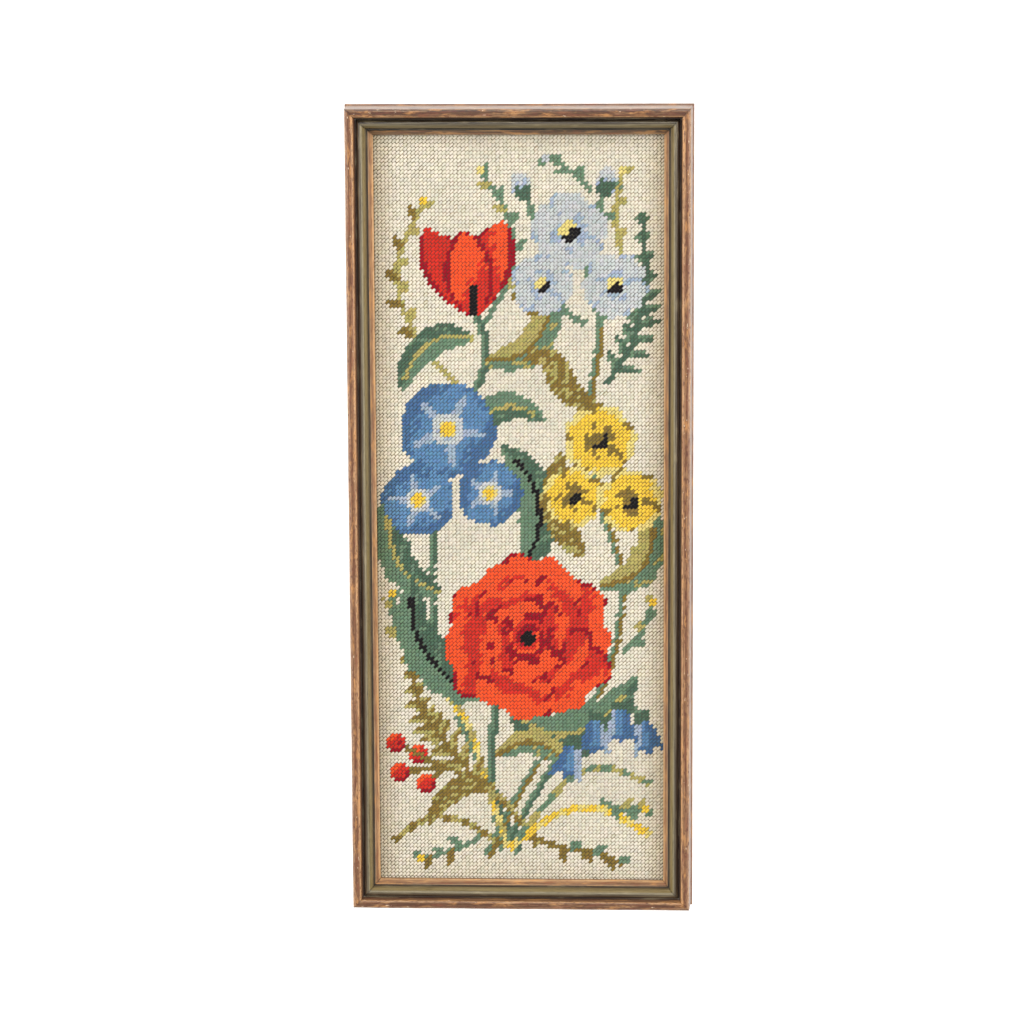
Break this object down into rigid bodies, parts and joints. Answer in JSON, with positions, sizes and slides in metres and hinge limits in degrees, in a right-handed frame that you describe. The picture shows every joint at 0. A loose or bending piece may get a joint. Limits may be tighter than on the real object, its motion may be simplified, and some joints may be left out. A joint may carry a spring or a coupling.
{
  "type": "needlepoint canvas panel in a wooden picture frame",
  "caption": "Tall needlepoint canvas of wool tent stitches with a floral spray, held flat behind the lip of a mitred, stepped wooden picture frame.",
  "frame": {"origin": "middle of the frame's back, on the surface that the framed panel lies on", "axes": "+Z out of the stitched face, +Y towards the top of the picture, +X to the right as the picture is looked at"},
  "size_m": [0.1928, 0.4528, 0.024],
  "materials": {
    "painted_moulding": "worn brown and olive paint with a satin wax, gilt rubbed through on the edges",
    "stitched_wool": "matte wool tent stitch",
    "plain_board": "plain matte hardboard"
  },
  "bodies": {
    "root": {"frame_rail_top": "painted_moulding", "frame_rail_bottom": "painted_moulding", "frame_rail_left": "painted_moulding", "frame_rail_right": "painted_moulding", "needlepoint_canvas": "stitched_wool", "back_board": "plain_board"}
  },
  "joints": []
}
